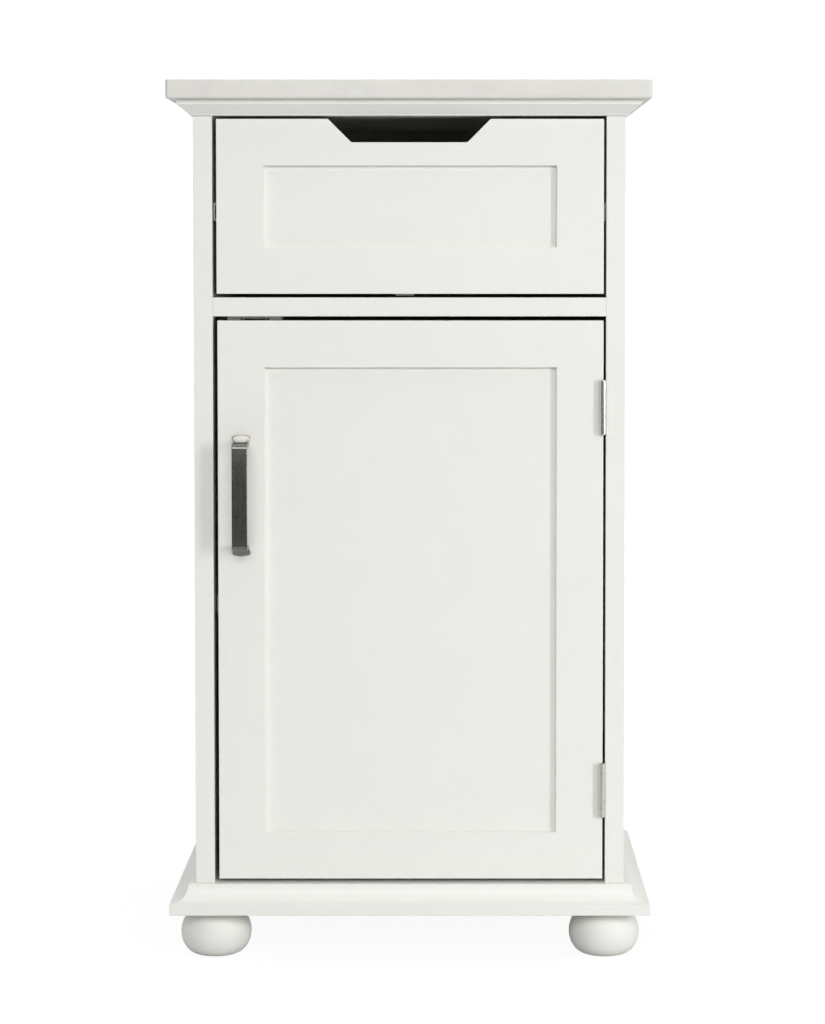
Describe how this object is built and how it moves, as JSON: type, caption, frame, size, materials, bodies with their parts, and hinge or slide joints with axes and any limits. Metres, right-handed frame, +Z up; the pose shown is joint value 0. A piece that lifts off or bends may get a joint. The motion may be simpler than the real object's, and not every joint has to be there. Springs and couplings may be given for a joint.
{
  "type": "apothecary cabinet",
  "caption": "Small painted cabinet with a marble slab top, a drawer with a finger notch, a framed door on butt hinges, an inner shelf, flared base moulding and bun feet.",
  "frame": {"origin": "on the floor, at the centre of the object's plan box", "axes": "+Z up, +Y to the back so that the door and drawer face -Y, +X to the right as seen from the front"},
  "size_m": [0.46, 0.354, 0.8415],
  "materials": {
    "paint": "smooth satin white paint on board",
    "inner_paint": "flat white paint on board",
    "marble": "honed pale marble with faint veins",
    "brushed_nickel": "brushed nickel",
    "bright_nickel": "bright nickel",
    "zinc_steel": "zinc-plated steel",
    "pale_plastic": "moulded pale gray plastic",
    "magnet": "dark ferrite magnet with steel pole plates"
  },
  "bodies": {
    "cabinet": {"marble_top": "marble", "cornice_front": "paint", "cornice_left": "paint", "cornice_right": "paint", "top_panel": "inner_paint", "side_panel_left": "paint", "side_panel_right": "paint", "back_panel": "inner_paint", "divider_panel": "paint", "bottom_panel": "paint", "base_moulding_front": "paint", "base_moulding_left": "paint", "base_moulding_right": "paint", "foot_front_left": "paint", "foot_front_right": "paint", "foot_back_left": "paint", "foot_back_right": "paint", "foot_stud_front_left": "zinc_steel", "foot_stud_front_right": "zinc_steel", "foot_stud_back_left": "zinc_steel", "foot_stud_back_right": "zinc_steel", "shelf": "inner_paint", "shelf_pin_front_left": "zinc_steel", "shelf_pin_front_right": "zinc_steel", "shelf_pin_back_left": "zinc_steel", "shelf_pin_back_right": "zinc_steel", "hinge_upper_frame_leaf": "bright_nickel", "hinge_upper_pin": "bright_nickel", "hinge_lower_frame_leaf": "bright_nickel", "hinge_lower_pin": "bright_nickel", "catch_body": "pale_plastic", "catch_magnet": "magnet", "slide_outer_left": "zinc_steel", "slide_outer_right": "zinc_steel"},
    "door": {"door_stile_left": "paint", "door_stile_right": "paint", "door_rail_top": "paint", "door_rail_bottom": "paint", "door_panel": "paint", "pull": "brushed_nickel", "pull_screw_upper": "zinc_steel", "pull_screw_lower": "zinc_steel", "hinge_upper_door_leaf": "bright_nickel", "hinge_lower_door_leaf": "bright_nickel", "strike_plate": "zinc_steel"},
    "drawer": {"drawer_stile_left": "paint", "drawer_stile_right": "paint", "drawer_rail_top": "paint", "drawer_rail_bottom": "paint", "drawer_panel": "paint", "drawer_box_side_left": "inner_paint", "drawer_box_side_right": "inner_paint", "drawer_box_front": "inner_paint", "drawer_box_back": "inner_paint", "drawer_box_floor": "inner_paint", "drawer_batten": "inner_paint", "slide_inner_left": "zinc_steel", "slide_inner_right": "zinc_steel"},
    "ball_cage_left": {"ball_cage_left": "zinc_steel"},
    "ball_cage_right": {"ball_cage_right": "zinc_steel"}
  },
  "joints": [
    {"name": "door_hinge", "type": "hinge", "parent": "cabinet", "child": "door", "pos_m": [0.185, -0.1526, 0.34625], "axis": [0, 0, 1], "range_deg": [0, 170]},
    {"name": "drawer_slide", "type": "slide", "parent": "cabinet", "child": "drawer", "axis": [0, -1, 0], "range_m": [0, 0.215]},
    {"name": "cage_slide_left", "type": "slide", "parent": "cabinet", "child": "ball_cage_left", "axis": [0, -1, 0], "range_m": [0, 0.1075]},
    {"name": "cage_slide_right", "type": "slide", "parent": "cabinet", "child": "ball_cage_right", "axis": [0, -1, 0], "range_m": [0, 0.1075]}
  ],
  "couplings": [
    {"joint": "cage_slide_left", "follows": "drawer_slide", "ratio": 0.5},
    {"joint": "cage_slide_right", "follows": "drawer_slide", "ratio": 0.5}
  ]
}
